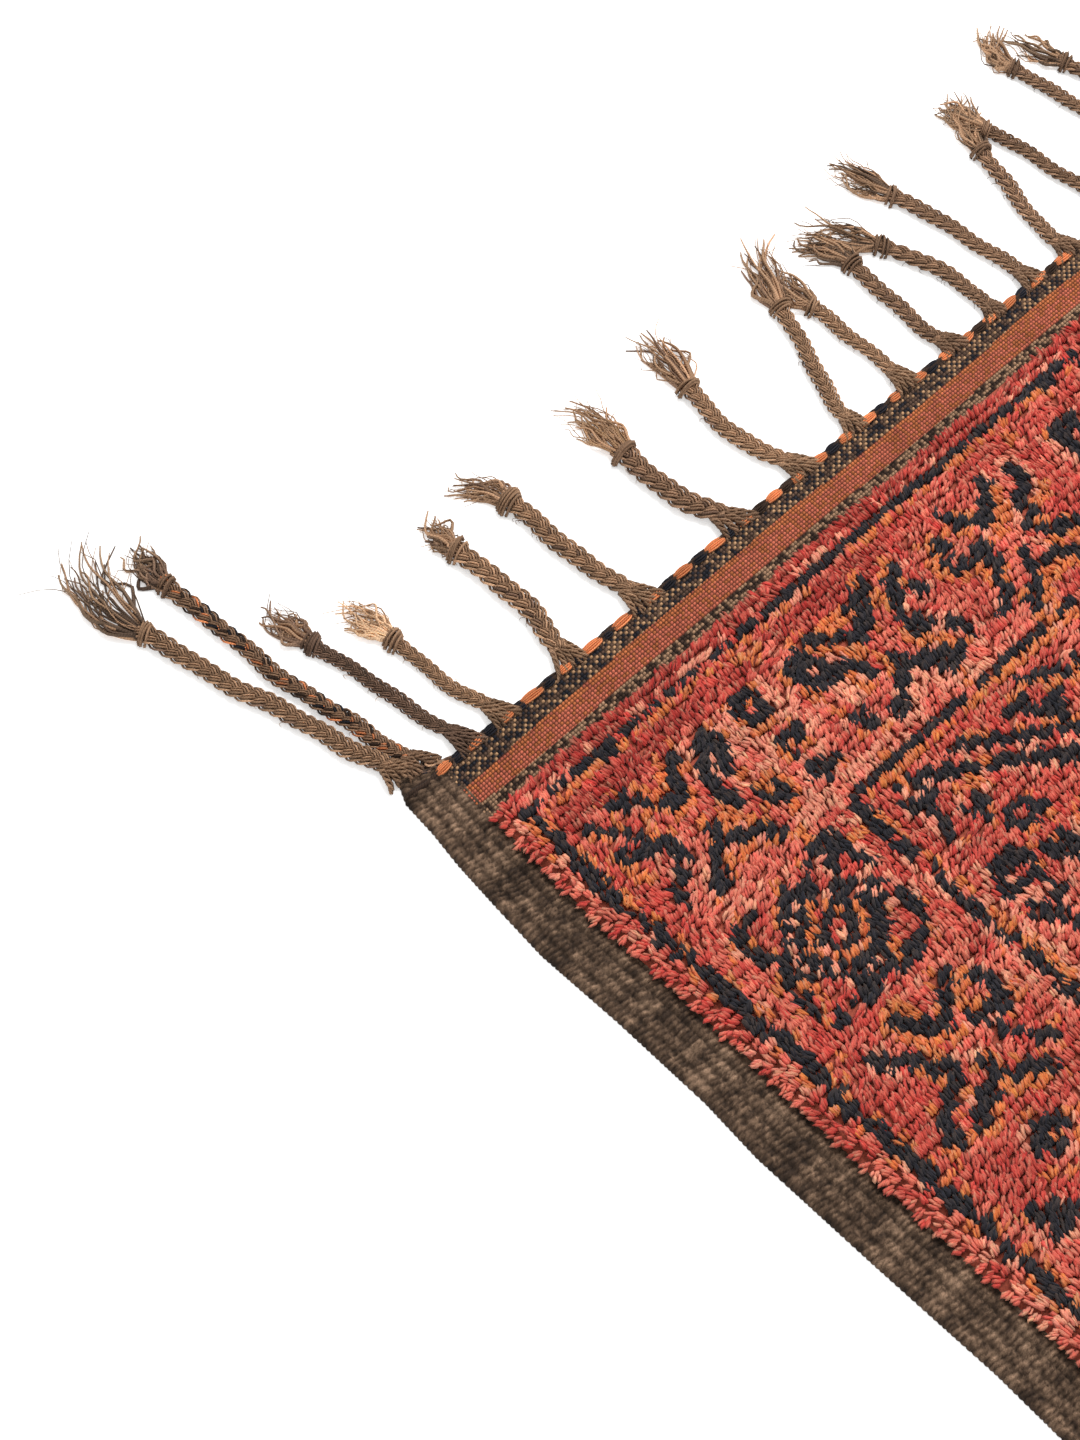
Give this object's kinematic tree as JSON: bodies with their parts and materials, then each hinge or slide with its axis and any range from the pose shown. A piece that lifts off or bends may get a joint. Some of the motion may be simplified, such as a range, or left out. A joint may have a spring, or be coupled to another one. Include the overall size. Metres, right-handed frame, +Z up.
{
  "type": "hand-knotted wool pile rug with braided fringe",
  "caption": "Rectangular hand-knotted wool rug lying flat: lumpy pile field, flat-woven selvedges and end bands, and a twined end cord with plaited braids and frayed tufts.",
  "frame": {"origin": "on the floor under the middle of the whole rug, fringe included", "axes": "+Y along the rug's length, out of the braided end; +X across its width; +Z up"},
  "size_m": [1.5462, 2.528, 0.013],
  "materials": {
    "rug_wool": "matte wool pile in reds with indigo and orange motifs, brown goat-hair selvedges",
    "braid_yarn": "matte undyed brown plied wool, with a few orange and indigo yarns"
  },
  "bodies": {
    "root": {"rug_cloth": "rug_wool", "braided_end_cord": "braid_yarn"}
  },
  "joints": []
}
